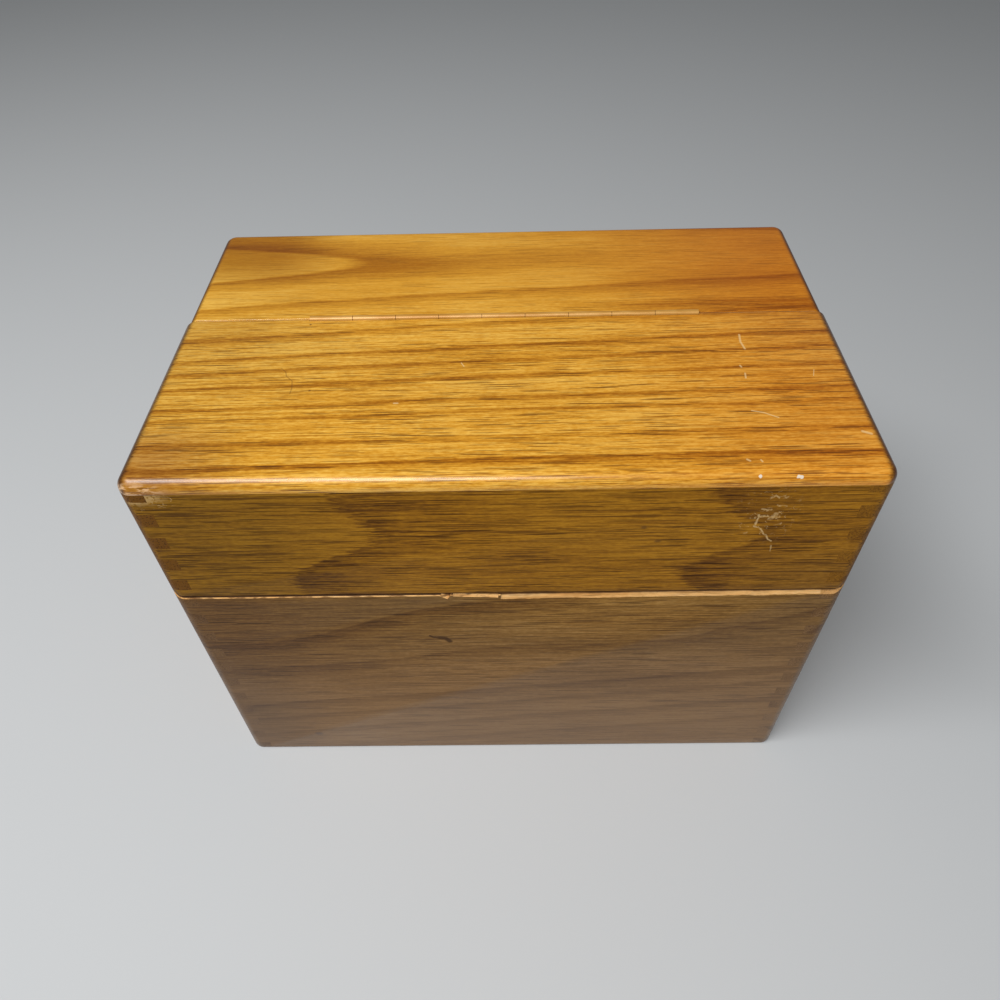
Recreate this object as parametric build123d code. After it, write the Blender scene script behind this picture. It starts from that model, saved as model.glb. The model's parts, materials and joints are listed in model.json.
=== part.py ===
from build123d import *
import math
import os

# Recipe card box in oak. Millimetres, +Z up, the front of the box faces -Y.
# The origin is at the middle of the underside.
#
# The box is a closed, finger jointed carcass that is sawn in two. The saw starts at a seam
# in the front face and slants up through both sides to the underside of the top. There it
# meets a square cut across the top. So the lid is a hood with triangular cheeks, hinged
# to the strip of the top that stays on the base.

# ---------------------------------------------------------------- driving dimensions

# The cards that the box is made for, 6 in by 4 in, and the room round them
card_length = 152.4
card_height = 101.6
card_end_play = 3.2          # both ends together
card_headroom = 11.45        # over a card, for the tabs of guide cards
file_depth = 92.6            # front to back, inside

# Boards
stock = 6.35                 # every solid board
bottom_thickness = 4.8
bottom_rabbet = 3.2          # how far the bottom panel is let into each board
top_lip = 3.2                # thickness of the top where it lies over the boards
top_side_play = 0.3          # between the top's thicker middle and each side board
strip_inset = 0.6            # the fixed strip of the top ends this far inside each side

# Finger joints
finger = 4.0                 # height of one finger, and of the space beside it
kerf_drop = 1.3              # the saw took this much, so the lid's fingers sit lower

# The cuts between lid and base
seam_height = 83.3           # on the front face
lid_depth = 59.9             # front face to the hinge axis
slant_gap = 0.3              # across the slanted cut, square to it
split_gap = 0.4              # across the top, in front of and behind the hinge axis

# Rounded edges
corner_radius = 3.5          # upright corners
top_radius = 3.0             # upper edges of the top
foot_radius = 0.8            # lower edges of the base
split_radius = 0.3           # upper edges of the split across the top

# Hinge
hinge_length = 101.6
knuckle_count = 9
knuckle_gap = 0.15
barrel_diameter = 1.8
barrel_clearance = 0.25      # groove in the wood round the barrel
axis_drop = 0.15             # the hinge axis lies this far below the top
pin_diameter = 0.9
pin_clearance = 0.05         # radial, in the lid's knuckles only
leaf_width = 6.0             # from the hinge axis
leaf_thickness = 0.6
mortise_clearance = 0.1      # round the edge of each leaf

# Hinge screws
screws_per_leaf = 5
screw_diameter = 1.5
screw_head_diameter = 2.7
screw_length = 6.4
screw_end_margin = 8.0       # from the leaf's end to its first screw
screw_slot_width = 0.4
screw_slot_depth = 0.3

# Brads under the bottom
brad_diameter = 1.2
brad_length = 12.0
brad_head_diameter = 2.0
brad_head_thickness = 0.5
front_brad_count = 3         # and as many along the back
side_brad_count = 2
brad_end_margin = 22.0       # from the box's corner to the first brad

# ---------------------------------------------------------------- derived dimensions

inner_width = card_length + card_end_play
width = inner_width + 2 * stock
depth = file_depth + 2 * stock
height = bottom_thickness + card_height + card_headroom + stock
board_top = height - top_lip

front_y = -depth / 2
axis_y = front_y + lid_depth
axis_z = height - axis_drop
slant = math.atan2(board_top - seam_height, lid_depth)
reach = 2 * (width + depth + height)     # larger than the box, for cutting tools

barrel_radius = barrel_diameter / 2
leaf_edge = barrel_radius + barrel_clearance
screw_line = (leaf_edge + leaf_width) / 2
screw_head_height = (screw_head_diameter - screw_diameter) / 2

# The slanted cut: X across the box, Y up the slope, Z square to the cut, towards the lid.
slant_plane = Plane(
    origin=(0, axis_y, board_top),
    x_dir=(1, 0, 0),
    z_dir=(0, -math.sin(slant), math.cos(slant)),
)

# The hinge: X along the pin, Y up, Z towards the lid.
hinge_plane = Plane(origin=(0, axis_y, axis_z), x_dir=(1, 0, 0), z_dir=(0, -1, 0))


# ---------------------------------------------------------------- shared shapes

def block(x, y, z):
    """A box from three (low, high) pairs."""
    size = (x[1] - x[0], y[1] - y[0], z[1] - z[0])
    centre = ((x[0] + x[1]) / 2, (y[0] + y[1]) / 2, (z[0] + z[1]) / 2)
    return Pos(*centre) * Box(*size)


def envelope(side_inset=0.0):
    """The outside of the closed box, with its edges rounded."""
    half = width / 2 - side_inset
    body = block((-half, half), (-depth / 2, depth / 2), (0, height))
    body = fillet(body.edges().filter_by(Axis.Z), corner_radius)
    body = fillet(body.faces().sort_by(Axis.Z)[-1].edges(), top_radius)
    return fillet(body.faces().sort_by(Axis.Z)[0].edges(), foot_radius)


def room(plane, gap, side):
    """All of the room on one side of a cut: +1 for the lid, -1 for the base."""
    return plane * Pos(0, 0, side * (reach + gap) / 2) * Box(reach, reach, reach)


def finger_bands(grid_start):
    """Low and high ends of the side boards' fingers, up to the boards' top."""
    pitch = 2 * finger
    count = math.ceil((board_top - grid_start) / pitch)
    bands = [(grid_start + n * pitch, grid_start + n * pitch + finger) for n in range(count)]
    return [(max(low, 0), min(high, board_top)) for low, high in bands if high > 0]


def corner_fingers(side_x, end_y, grid_start):
    """The side board's fingers in one corner of the box."""
    x = sorted((side_x * width / 2, side_x * (width / 2 - stock)))
    y = sorted((end_y * depth / 2, end_y * (depth / 2 - stock)))
    return [block(x, y, band) for band in finger_bands(grid_start)]


bottom_space = block(
    (-inner_width / 2 - bottom_rabbet, inner_width / 2 + bottom_rabbet),
    (-file_depth / 2 - bottom_rabbet, file_depth / 2 + bottom_rabbet),
    (0, bottom_thickness),
)


# ---------------------------------------------------------------- walls

def end_board(end_y, grid_start):
    """The front (-1) or back (+1) board, with a slot for each finger of the sides."""
    y = sorted((end_y * depth / 2, end_y * (depth / 2 - stock)))
    board = block((-width / 2, width / 2), y, (0, board_top))
    slots = corner_fingers(-1, end_y, grid_start) + corner_fingers(+1, end_y, grid_start)
    return board - slots - bottom_space


def side_board(side_x, grid_start):
    """The left (-1) or right (+1) board, with its fingers at the front and the back."""
    x = sorted((side_x * width / 2, side_x * (width / 2 - stock)))
    board = block(x, (-file_depth / 2, file_depth / 2), (0, board_top))
    fingers = corner_fingers(side_x, -1, grid_start) + corner_fingers(side_x, +1, grid_start)
    return board + fingers - bottom_space


# ---------------------------------------------------------------- hinge

def knuckle_spans(first):
    """Ends of every second knuckle, from the knuckle numbered first."""
    pitch = hinge_length / knuckle_count
    spans = []
    for n in range(first, knuckle_count, 2):
        low = -hinge_length / 2 + n * pitch
        high = low + pitch
        if n > 0:
            low += knuckle_gap / 2
        if n < knuckle_count - 1:
            high -= knuckle_gap / 2
        spans.append((low, high))
    return spans


def rod(radius, low, high):
    """A round bar along the hinge axis."""
    return Pos((low + high) / 2, 0, 0) * Rot(0, 90, 0) * Cylinder(radius, high - low)


def screw_places(side):
    """The frame of each of one leaf's screws: on its open face, with +Z into the wood."""
    first = -hinge_length / 2 + screw_end_margin
    pitch = (hinge_length - 2 * screw_end_margin) / (screws_per_leaf - 1)
    turn = Rot(0, 0, 0) if side > 0 else Rot(180, 0, 0)
    face = side * split_gap / 2
    return [Pos(first + n * pitch, -screw_line, face) * turn for n in range(screws_per_leaf)]


def screw_body():
    """A countersunk screw from its flat head at z = 0 to its tip."""
    tip = screw_diameter / 2
    shank = screw_length - screw_head_height - tip
    head = Cone(screw_head_diameter / 2, screw_diameter / 2, screw_head_height)
    head = Pos(0, 0, screw_head_height / 2) * head
    middle = Pos(0, 0, screw_head_height + shank / 2) * Cylinder(screw_diameter / 2, shank)
    point = Pos(0, 0, screw_length - tip / 2) * Cone(screw_diameter / 2, tip / 4, tip)
    return head + middle + point


def screws(side):
    """One leaf's screws, each with its slot."""
    slot = Box(screw_head_diameter, screw_slot_width, screw_slot_depth)
    screw = screw_body() - Pos(0, 0, screw_slot_depth / 2) * slot
    return [hinge_plane * place * screw for place in screw_places(side)]


def screw_holes(side):
    return [hinge_plane * place * screw_body() for place in screw_places(side)]


def hinge_leaf(side, first_knuckle, bore_radius):
    """One leaf: a flat plate, and every second knuckle joined to it by a tab."""
    w = sorted((side * split_gap / 2, side * (split_gap / 2 + leaf_thickness)))
    leaf = block((-hinge_length / 2, hinge_length / 2), (-leaf_width, -leaf_edge), w)
    for low, high in knuckle_spans(first_knuckle):
        leaf += block((low, high), (-leaf_edge, 0), w)
        leaf += rod(barrel_radius, low, high)
    leaf -= rod(bore_radius, -hinge_length, hinge_length)
    return hinge_plane * leaf - screw_holes(side)


def hinge_recess(side):
    """The wood that makes way for one leaf and for the barrel."""
    end = hinge_length / 2 + mortise_clearance
    w = sorted((0, side * (split_gap / 2 + leaf_thickness)))
    mortise = block((-end, end), (-leaf_width - mortise_clearance, 0), w)
    groove_end = hinge_length / 2 + barrel_clearance
    groove = rod(barrel_radius + barrel_clearance, -groove_end, groove_end)
    return hinge_plane * (mortise + groove)


# ---------------------------------------------------------------- top boards

def top_board(side):
    """The lid's top (+1) or the fixed strip (-1): a lip over the boards and a thicker middle."""
    lip = block((-width / 2, width / 2), (-depth / 2, depth / 2), (board_top, height))
    half = inner_width / 2 - top_side_play
    middle = block((-half, half), (-file_depth / 2, file_depth / 2), (height - stock, height))
    shape = envelope(strip_inset if side < 0 else 0.0)
    board = (lip + middle) & shape & room(hinge_plane, split_gap, side)
    split_y = axis_y - side * split_gap / 2
    arris = board.edges().filter_by(Axis.X).filter_by_position(
        Axis.Y, split_y - split_gap / 4, split_y + split_gap / 4).sort_by(Axis.Z)[-1]
    return fillet(arris, split_radius) - hinge_recess(side) - screw_holes(side)


# ---------------------------------------------------------------- brads

def spread(half_span, count):
    """Places of count brads, evenly from one end margin to the other."""
    first = -half_span + brad_end_margin
    last = half_span - brad_end_margin
    return [first + (last - first) * n / (count - 1) for n in range(count)]


def brad_places():
    line_x = inner_width / 2 + bottom_rabbet / 2
    line_y = file_depth / 2 + bottom_rabbet / 2
    along = [(x, y) for y in (-line_y, line_y) for x in spread(width / 2, front_brad_count)]
    across = [(x, y) for x in (-line_x, line_x) for y in spread(depth / 2, side_brad_count)]
    return along + across


def brad(x, y):
    head = Cylinder(brad_head_diameter / 2, brad_head_thickness)
    shank = Cylinder(brad_diameter / 2, brad_length)
    head = Pos(0, 0, brad_head_thickness / 2) * head
    return Pos(x, y, 0) * (head + Pos(0, 0, brad_length / 2) * shank)


# ---------------------------------------------------------------- the pieces

outside = envelope()
base_room = room(slant_plane, slant_gap, -1)
lid_room = room(slant_plane, slant_gap, +1) & room(hinge_plane, split_gap, +1)
lid_grid = -kerf_drop
brads = [brad(x, y) for x, y in brad_places()]


def base_board(board):
    return (board - brads) & outside & base_room


def lid_board(board):
    return board & outside & lid_room


nodes = {
    "base_front": base_board(end_board(-1, 0.0)),
    "base_back": base_board(end_board(+1, 0.0)),
    "base_left_side": base_board(side_board(-1, 0.0)),
    "base_right_side": base_board(side_board(+1, 0.0)),
    "bottom_panel": bottom_space - brads,
    "bottom_brads": Compound(children=brads),
    "rear_top": top_board(-1),
    "lid_top": top_board(+1),
    "lid_front": lid_board(end_board(-1, lid_grid)),
    "lid_left_cheek": lid_board(side_board(-1, lid_grid)),
    "lid_right_cheek": lid_board(side_board(+1, lid_grid)),
    "hinge_leaf_base": hinge_leaf(-1, 0, pin_diameter / 2),
    "hinge_leaf_lid": hinge_leaf(+1, 1, pin_diameter / 2 + pin_clearance),
    "hinge_pin": hinge_plane * rod(pin_diameter / 2, -hinge_length / 2, hinge_length / 2),
    "hinge_screws_base": Compound(children=screws(-1)),
    "hinge_screws_lid": Compound(children=screws(+1)),
}

os.makedirs("parts", exist_ok=True)
for name, shape in nodes.items():
    export_step(shape, os.path.join("parts", name + ".step"))

print(f"outside {width:.2f} x {depth:.2f} x {height:.2f}, slant {math.degrees(slant):.2f} degrees")
print(f"hinge axis at y {axis_y:.2f}, z {axis_z:.2f}")
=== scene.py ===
# %% [markdown]
# # A recipe card box in honey oak
# The box is a finger jointed carcass that was glued up closed and then sawn in two, so its
# lid is a hood with slanted cheeks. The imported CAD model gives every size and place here.
# Blender adds what a drawing leaves out: grain, lacquer, bare sawn wood, chips and wear.

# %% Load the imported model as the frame
import json
import math

import bpy
from mathutils import Matrix, Vector


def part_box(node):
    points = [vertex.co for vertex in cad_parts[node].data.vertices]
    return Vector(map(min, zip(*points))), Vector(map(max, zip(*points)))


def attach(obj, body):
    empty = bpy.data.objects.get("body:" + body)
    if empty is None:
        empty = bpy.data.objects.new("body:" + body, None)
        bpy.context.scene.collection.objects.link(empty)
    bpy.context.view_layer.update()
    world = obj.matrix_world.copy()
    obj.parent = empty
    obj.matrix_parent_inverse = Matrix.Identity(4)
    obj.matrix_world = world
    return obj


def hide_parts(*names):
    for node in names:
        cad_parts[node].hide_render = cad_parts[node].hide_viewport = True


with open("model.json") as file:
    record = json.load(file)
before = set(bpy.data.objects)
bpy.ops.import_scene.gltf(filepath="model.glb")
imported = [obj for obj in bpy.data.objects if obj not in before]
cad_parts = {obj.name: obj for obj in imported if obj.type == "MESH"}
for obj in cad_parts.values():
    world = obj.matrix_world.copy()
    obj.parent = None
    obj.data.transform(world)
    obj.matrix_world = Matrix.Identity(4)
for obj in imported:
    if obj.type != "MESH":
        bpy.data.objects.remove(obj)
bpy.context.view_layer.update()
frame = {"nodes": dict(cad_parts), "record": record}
mm = 0.001
print("CAD nodes:", ", ".join(sorted(frame["nodes"])))

# %% [markdown]
# ## Sizes
# Typing lengths in again would let them drift from the drawing, so each one comes from the
# corners of a CAD node. The base's front board is highest at its inner face. The slope of
# the saw cut, which the cheeks give, carries that height out to the seam that one sees.

# %% Lengths from the frame
front_low, front_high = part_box("base_front")
strip_low, strip_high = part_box("rear_top")
cheek_low, cheek_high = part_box("lid_left_cheek")
panel_low, panel_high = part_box("bottom_panel")
pin_low, pin_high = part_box("hinge_pin")
side_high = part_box("base_left_side")[1]
lid_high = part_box("lid_top")[1]

half_width = front_high.x
front_y = front_low.y
back_y = side_high.y
stock = front_high.y - front_low.y
height = lid_high.z
board_top = side_high.z
axis_y = (pin_low.y + pin_high.y) / 2
axis_z = (pin_low.z + pin_high.z) / 2
lid_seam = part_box("lid_front")[0].z
slope = (board_top - lid_seam) / (cheek_high.y - cheek_low.y)
base_seam = front_high.z - slope * stock
slant = math.atan(slope)
print(f"box {2 * half_width:.4f} x {back_y - front_y:.4f} x {height:.4f}, slant {math.degrees(slant):.1f}")

# %% Lengths in millimetres, for patterns
corner_radius, top_radius, foot_radius = 3.5 * mm, 3.0 * mm, 0.8 * mm
front_face = front_y / mm
top_face = height / mm
half = half_width / mm
corner = corner_radius / mm
print(f"front face at y {front_face:.2f}, top at z {top_face:.2f}, sides at x {half:.2f}")

# %% [markdown]
# ## The camera
# The viewpoint is close, high and in front, so the box tapers strongly towards its foot.
# A short lens near the box gives that taper; a long lens from further off would flatten it.

# %% Where the camera looks
width = 2 * half_width
eye = Vector((0.0106 * width, front_y - 0.6944 * width, 1.4546 * width))
yaw, pitch, roll = (math.radians(angle) for angle in (-1.364, 47.327, 1.799))
forward = Vector((math.sin(yaw) * math.cos(pitch), math.cos(yaw) * math.cos(pitch), -math.sin(pitch)))
right = Vector((math.cos(yaw), -math.sin(yaw), 0))
down = forward.cross(right)
across = math.cos(roll) * right + math.sin(roll) * down
up = math.sin(roll) * right - math.cos(roll) * down
print("eye at", tuple(round(length, 3) for length in eye))

# %% The camera itself
camera_data = bpy.data.cameras.new("camera")
camera_data.sensor_width = 36
camera_data.lens = 28.66
camera_data.clip_start = 0.01
camera = bpy.data.objects.new("camera", camera_data)
bpy.context.scene.collection.objects.link(camera)
camera.matrix_world = Matrix.Translation(eye) @ Matrix((across, up, -forward)).transposed().to_4x4()
bpy.context.scene.camera = camera
print("lens", round(camera_data.lens, 2), "mm")


# %% [markdown]
# ## Expressions instead of a web of nodes
# A shader is easier to read as sums than as boxes and wires. This class wraps a socket, so
# that `1 - mask * 0.5` adds the Math nodes by itself. All other nodes come from one method.

# %% Sockets that take part in expressions
class Wire:
    """One output socket of a node tree."""

    def __init__(self, sheet, socket):
        self.sheet = sheet
        self.socket = socket

    def __add__(self, other):
        return self.sheet.maths("ADD", self, other)

    def __sub__(self, other):
        return self.sheet.maths("SUBTRACT", self, other)

    def __mul__(self, other):
        return self.sheet.maths("MULTIPLY", self, other)

    def __truediv__(self, other):
        return self.sheet.maths("DIVIDE", self, other)

    def __pow__(self, other):
        return self.sheet.maths("POWER", self, other)

    def __rsub__(self, other):
        return self.sheet.maths("SUBTRACT", other, self)

    def __neg__(self):
        return self.sheet.maths("SUBTRACT", 0.0, self)

    __radd__ = __add__
    __rmul__ = __mul__


# %% A material and the one method that makes its nodes
class Sheet:
    """The node tree of one material."""

    def __init__(self, name):
        self.material = bpy.data.materials.new(name)
        self.material.use_nodes = True
        self.tree = self.material.node_tree
        self.tree.nodes.clear()

    def node(self, kind, settings=None, sockets=None, out=0):
        made = self.tree.nodes.new(kind)
        for key, value in (settings or {}).items():
            if key == "stops":
                self.set_stops(made.color_ramp, value)
            elif key == "line":
                self.set_line(made.mapping, value)
            else:
                setattr(made, key, value)
        for key, value in (sockets or {}).items():
            if isinstance(value, Wire):
                self.tree.links.new(value.socket, made.inputs[key])
            else:
                made.inputs[key].default_value = value
        return Wire(self, made.outputs[out]) if made.outputs else made

    def set_stops(self, ramp, stops):
        while len(ramp.elements) > 1:
            ramp.elements.remove(ramp.elements[-1])
        for n, (place, value) in enumerate(stops):
            element = ramp.elements[0] if n == 0 else ramp.elements.new(place)
            element.position = place
            colour = value if isinstance(value, tuple) else (value, value, value)
            element.color = (*colour, 1)

    def set_line(self, mapping, points):
        line = mapping.curves[0].points
        line[0].location, line[1].location = points[0], points[-1]
        for point in points[1:-1]:
            line.new(*point)
        mapping.update()

    def maths(self, operation, *values):
        return self.node("ShaderNodeMath", {"operation": operation}, dict(enumerate(values)))

    def vector_maths(self, operation, out, sockets):
        return self.node("ShaderNodeVectorMath", {"operation": operation}, sockets, out)

    def done(self, **sockets):
        named = {key.replace("_", " "): value for key, value in sockets.items()}
        for key, value in named.items():
            if isinstance(value, tuple):
                named[key] = (*value, 1)
        shader = self.node("ShaderNodeBsdfPrincipled", None, named)
        self.node("ShaderNodeOutputMaterial", None, {"Surface": shader})
        return self.material


# %% [markdown]
# ## A small box of drawing tools
# Wear is drawn with soft steps, noises, strokes and blots, all in millimetres on the object.
# An image could hold the same marks, but it would blur close up and need unwrapping, while
# these formulas stay sharp and run on around every edge and into every joint.

# %% Numbers: soft steps, limits and lines
class Numbers(Sheet):
    """A material whose masks are worked out from numbers."""

    def smooth(self, value, low, high):
        """0 below low and 1 above high, with a soft change between."""
        return self.node("ShaderNodeMapRange", {"interpolation_type": "SMOOTHSTEP"},
                         {"Value": value, "From Min": low, "From Max": high})

    def most(self, first, *others):
        """The largest of several numbers."""
        for other in others:
            first = self.maths("MAXIMUM", first, other)
        return first

    def clamp(self, value, low=0.0, high=1.0):
        return self.maths("MINIMUM", self.most(value, low), high)

    def curve(self, value, points):
        """The height of a smooth line through the points, at the given value."""
        low, high = points[0][0], points[-1][0]
        floor = min(p[1] for p in points)
        rise = max(p[1] for p in points) - floor
        line = [((p[0] - low) / (high - low), (p[1] - floor) / rise) for p in points]
        share = self.clamp((value - low) / (high - low))
        return self.node("ShaderNodeFloatCurve", {"line": line}, {"Value": share}) * rise + floor

    def grey(self, value, stops):
        colour = self.node("ShaderNodeValToRGB", {"stops": stops}, {"Fac": value})
        return self.node("ShaderNodeRGBToBW", None, {"Color": colour})

    def blend(self, factor, first, second, kind="MIX"):
        first = first if isinstance(first, Wire) else (*first, 1)
        second = second if isinstance(second, Wire) else (*second, 1)
        return self.node("ShaderNodeMix", {"data_type": "RGBA", "blend_type": kind},
                         {0: factor, 6: first, 7: second}, out=2)

    def tint(self, factor, colour, tone):
        """The colour multiplied by a tone, like a coloured film; some tones are painted shade."""
        return self.blend(factor, colour, tone, "MULTIPLY")


# %% Places: noises, strokes and blots
class Drawing(Numbers):
    """A material whose masks are drawn in space."""

    def vector(self, x, y, z):
        return self.node("ShaderNodeCombineXYZ", None, {"X": x, "Y": y, "Z": z})

    def three(self, source):
        """Three numbers of a vector output of the Texture Coordinate node."""
        vector = self.node("ShaderNodeTexCoord", out=source)
        split = self.node("ShaderNodeSeparateXYZ", None, {"Vector": vector}).socket.node
        return [Wire(self, split.outputs[n]) for n in range(3)]

    def noise(self, place, detail=2.0, roughness=0.5, out=0):
        return self.node("ShaderNodeTexNoise", None, {
            "Vector": place, "Scale": 1.0, "Detail": detail, "Roughness": roughness}, out)

    def cells(self, place):
        """The distance to the nearest of many scattered points."""
        return self.node("ShaderNodeTexVoronoi", {"feature": "F1"}, {
            "Vector": place, "Scale": 1.0, "Randomness": 1.0}, out="Distance")

    def shaken(self, spot, size, reach):
        """The spot, moved a little by a noise of the given size in millimetres."""
        place = self.vector_maths("SCALE", 0, {0: spot, "Scale": 1 / size})
        push = self.vector_maths("SUBTRACT", 0, {0: self.noise(place, out=1), 1: (0.5, 0.5, 0.5)})
        push = self.vector_maths("SCALE", 0, {0: push, "Scale": reach})
        return self.vector_maths("ADD", 0, {0: spot, 1: push})

    def stroke(self, spot, points, width):
        """1 along a thin line through the points, in millimetres."""
        nearest = 100.0
        for start, end in zip(points, points[1:]):
            run = Vector(end) - Vector(start)
            away = self.vector_maths("SUBTRACT", 0, {0: spot, 1: start})
            share = self.vector_maths("DOT_PRODUCT", 1, {0: away, 1: run}) / run.length_squared
            foot = self.vector_maths("SCALE", 0, {0: run, "Scale": self.clamp(share)})
            gap = self.vector_maths("SUBTRACT", 0, {0: away, 1: foot})
            nearest = self.maths("MINIMUM", nearest, self.vector_maths("LENGTH", 1, {0: gap}))
        return 1 - self.smooth(nearest, width * 0.25, width * 0.75)

    def near(self, spot, centre, reach):
        """1 at a point, falling to 0 at the given distances from it along X, Y and Z."""
        away = self.vector_maths("SUBTRACT", 0, {0: spot, 1: centre})
        share = self.vector_maths("DIVIDE", 0, {0: away, 1: reach})
        return 1 - self.smooth(self.vector_maths("LENGTH", 1, {0: share}), 0.3, 1.0)


# %% [markdown]
# ## How each board's grain runs
# Oak's growth bands are the edges of nested cones inside the log, so a flat board shows long
# lines where it cuts them steeply and pointed arches where it grazes one. Each board below
# gives a number that grows across its rings, and a list of where its dark bands lie. Depth
# below the face counts too, so that the lines carry on over the edges and down the ends. The
# top's and the base front's numbers also carry painted shade.

# %% Dark bands from a ring number
def bands(s, ring, reach, rows):
    """Each row is a band's sharp edge, its width and its darkness."""
    stops = [(0.0, 0.0)]
    for edge, spread, dark in rows:
        stops += [((edge - spread) / reach, 0.0), ((edge - 0.3) / reach, dark),
                  ((edge + 0.35) / reach, 0.0)]
    return s.grey(ring / reach, stops)


# %% The top board: a cathedral at the back on the left, lines that climb to the right, and painted shade
def top_growth(s, x, y, z, wobble):
    ahead = y - front_face + wobble
    climb = s.clamp((x + half) / (2 * half)) ** 0.8
    lines = (ahead - 1.5 * climb) / (1 + 0.2 * climb)
    arch_axis = 87.0
    sharpness = 1.89
    spread = s.most(x + 95, 0.0) * sharpness
    arch = arch_axis - s.maths("SQRT", (ahead - arch_axis) ** 2.0 + spread)
    ring = s.maths("SMOOTH_MIN", lines, arch, 2.0) + 0.8 * (top_face - z)
    lines = bands(s, ring, 92, [
        (5.0, 3.2, 1.0), (11.9, 2.8, 0.7), (19.5, 1.6, 0.65), (23.5, 2.0, 0.9),
        (31.1, 1.8, 0.9), (36.8, 1.8, 0.85), (42.0, 2.2, 0.85), (50.7, 3.2, 0.8),
        (64.0, 4.5, 0.65), (76.9, 6.5, 0.85)])
    # Painted shade: a broad darkening at the back right, where the light falls off, and a painted shadow
    # just behind the split on the right.
    shadow = s.near(s.vector(x, y, z), (70, 30, top_face), (95, 42, 40))
    painted_shadow_behind_split = s.near(s.vector(x, ahead, z), (66, 63.2, top_face), (60, 4.2, 40))
    return s.clamp(lines * (1 - 0.15 * s.smooth(x, 0, 70)) + shadow * 0.22 + painted_shadow_behind_split * 0.55)


# %% The front board in the lid: two steep zigzag figures
def lid_front_growth(s, x, y, z, wobble):
    zigzag = s.curve(z, [(84, -48.5), (91, -52), (95.5, -47), (99, -41), (101.5, -35),
                         (106.5, -30.5), (114, -35), (121, -39)])
    ragged = s.noise(s.vector(x / 11, y / 4, z / 0.55), 3.0, 0.65) - 0.5
    ring = 120 - (x - zigzag + wobble + ragged * 15) / (0.94 + 0.004 * (121 - z))
    ring = ring + (y - front_face) * 2
    patches = s.smooth(s.noise(s.vector(x / 13, y / 9, z / 5 + 4), 2.0), 0.35, 0.62)
    streaks = s.smooth(s.noise(s.vector(x / 10, y / 3, z / 0.42 + 9), 3.0, 0.6), 0.36, 0.62)
    outline = bands(s, ring, 180, [(31.5, 6, 0.32), (120, 5, 0.42)])
    figure = bands(s, ring, 180, [(31.5, 38, 0.36), (120, 30, 0.5)])
    halo = bands(s, ring, 180, [(31.5, 70, 0.42), (120, 66, 0.42)])
    inner = figure * (0.65 + 0.35 * patches) + halo * (0.45 + 0.55 * patches)
    return s.clamp(inner * (0.35 + 1.05 * streaks) + outline)


# %% The front board in the base: two long bent bands over fainter ones
def base_front_growth(s, x, y, z, wobble):
    high = z + wobble + (y - front_face) * 0.7
    first = s.curve(x, [(-84, 58.5), (-62, 60.8), (-49, 64.5), (-28, 72.5), (-12, 77), (12, 80),
                        (40, 86)])
    second = s.curve(x, [(-84, 47), (-30, 52.5), (-10, 56.5), (5, 58.7), (33, 59.2), (46, 61),
                         (56, 65), (70, 70), (84, 77)])
    upper = bands(s, high - first + 20, 60, [(22.6, 6.5, 0.62)])
    middle = bands(s, high - second + 20, 60, [(21.8, 6.0, 0.46)])
    lower = bands(s, high - 0.13 * x, 60, [(9.5, 3, 0.3), (20.5, 4, 0.4), (30, 3.5, 0.4),
                                           (38, 5, 0.5)])
    # The last term is painted shade and reflection: the board is darker towards the top left and lighter
    # towards the foot, which reflects the floor.
    return s.clamp(upper + middle + lower + 0.29 * s.smooth(z - 0.12 * x, 22, 84))


# %% The sides and the back: quieter plain-sawn figures
def side_growth(s, x, y, z, wobble):
    spread = s.most(58 - y, 0.0) * 6.0
    deep = (half - s.maths("ABSOLUTE", x)) * 0.8
    ring = s.maths("SQRT", (z + wobble - 44) ** 2.0 + spread) + deep
    return bands(s, ring, 90, [(8, 3, 0.6), (17, 3, 0.65), (26, 3.5, 0.7), (37, 3, 0.7),
                               (45, 3, 0.65), (53, 2.5, 0.7), (60, 2.5, 0.6), (68, 3, 0.6)])


def back_growth(s, x, y, z, wobble):
    spread = s.most(x + 88, 0.0) * 5.0
    deep = (-front_face - y) * 0.8
    ring = s.maths("SQRT", (z + wobble - 66) ** 2.0 + spread) + deep
    return bands(s, ring, 90, [(9, 3, 0.6), (19, 3.5, 0.7), (29, 3, 0.65), (38, 3, 0.7),
                               (46, 2.5, 0.7), (53, 2.5, 0.6), (60, 3, 0.65), (68, 3, 0.6)])


# %% [markdown]
# ## Oak
# Oak's early wood is full of wide pores. Along a board they show as short dark dashes, thickest
# in the growth bands, and on its ends as dots. Every layer here is a pattern in space that is
# stretched along the fibres, so one recipe gives faces, edges and ends that agree.

# %% Places stretched along the fibres
def fibre_places(s, x, y, z, grain, seed):
    """A function whose places make any pattern long along X (grain 0) or Y (grain 1)."""
    along = (x, y)[grain]
    wide = (y, x)[grain]

    def stretched(length, size, shift=0.0):
        return s.vector(along / length + (seed + shift), wide / size, z / size)

    return stretched


# %% The pores: open ones in the dark bands, fine ones everywhere
def pores_of(s, stretched, growth, clear, run):
    def dashes(length, size, low, high, shift):
        return 1 - s.smooth(s.cells(stretched(length, size, shift)), low, high)

    crowd = s.smooth(s.noise(stretched(30, 4.5, 11.0), 2.0), 0.35, 0.65)
    in_band = s.most(crowd * 0.6, growth)
    wide_pores = dashes(23, 0.80, 0.20, 0.245, 13.0) * (0.5 + 0.5 * in_band)
    more_pores = dashes(13, 0.62, 0.24, 0.30, 17.0) * in_band
    fine_pores = s.smooth(s.noise(stretched(run, 0.30, 19.0), 1.0), 0.585, 0.62)
    return s.most(wide_pores, more_pores) * clear, fine_pores


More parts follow.
